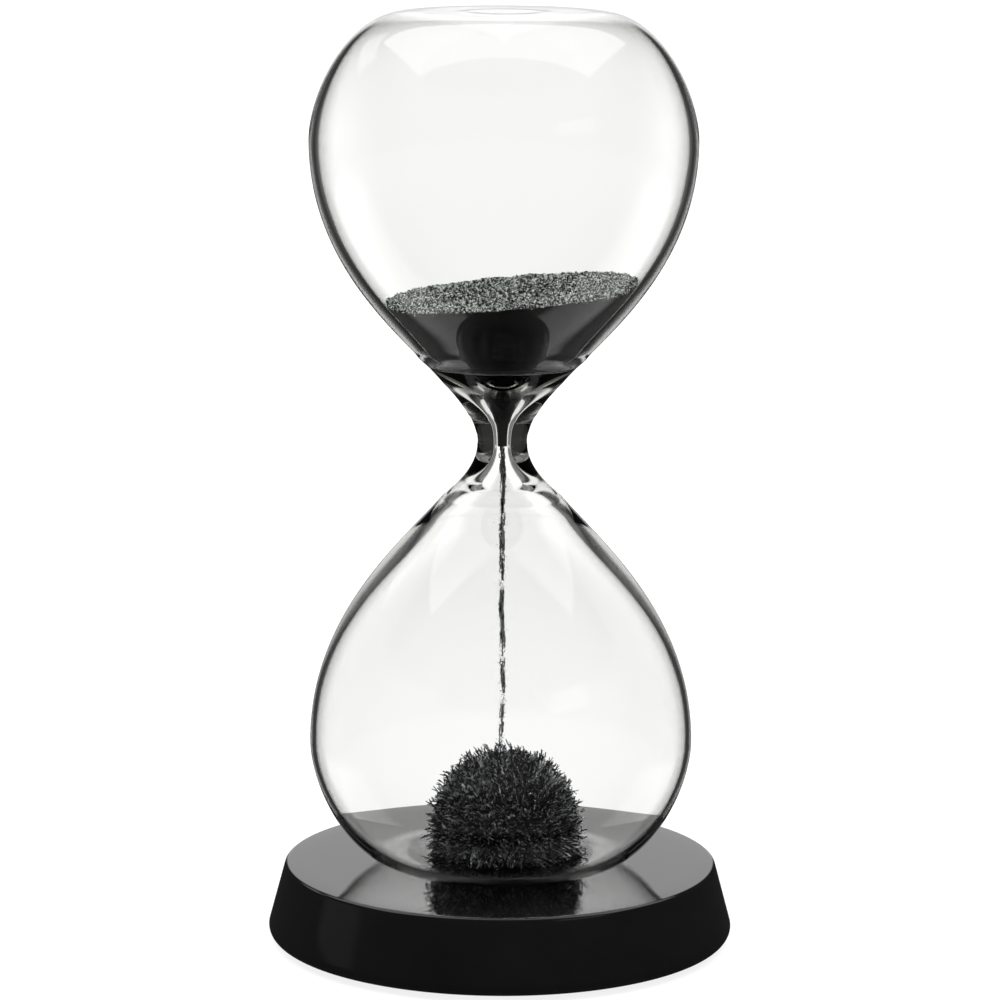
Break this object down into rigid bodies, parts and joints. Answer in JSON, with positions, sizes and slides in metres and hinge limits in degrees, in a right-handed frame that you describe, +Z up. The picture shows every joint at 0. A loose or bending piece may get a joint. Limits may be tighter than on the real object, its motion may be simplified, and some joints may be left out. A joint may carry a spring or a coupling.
{
  "type": "magnetic hourglass",
  "caption": "Sealed glass hourglass with iron filings, standing loose on a round gloss-black base whose magnet draws the fallen filings into a spiky dome.",
  "frame": {"origin": "middle of the underside, at the height of the table that the feet stand on", "axes": "+Z up along the hourglass, +Y from the front of the base to its back, +X to the right"},
  "size_m": [0.08, 0.08, 0.1598],
  "materials": {
    "glass": "polished",
    "iron_filings": "matte",
    "base_plastic": "gloss",
    "cover_plastic": "matte",
    "magnet_nickel": "satin",
    "pad_foam": "matte",
    "screw_steel": "satin",
    "foot_rubber": "matte"
  },
  "bodies": {
    "base": {"base_shell": "base_plastic", "base_cover": "cover_plastic", "disc_magnet": "magnet_nickel", "magnet_pad": "pad_foam", "cover_screw_1": "screw_steel", "cover_screw_2": "screw_steel", "cover_screw_3": "screw_steel", "foot_1": "foot_rubber", "foot_2": "foot_rubber", "foot_3": "foot_rubber", "foot_4": "foot_rubber"},
    "hourglass": {"lower_bulb": "glass", "neck": "glass", "upper_bulb": "glass", "fill_seal": "glass", "upper_filings": "iron_filings", "falling_filings": "iron_filings", "filings_dome": "iron_filings"}
  },
  "joints": [
    {"name": "hourglass_lift", "type": "slide", "parent": "base", "child": "hourglass", "axis": [0, 0, 1], "range_m": [0, 0.08]}
  ]
}
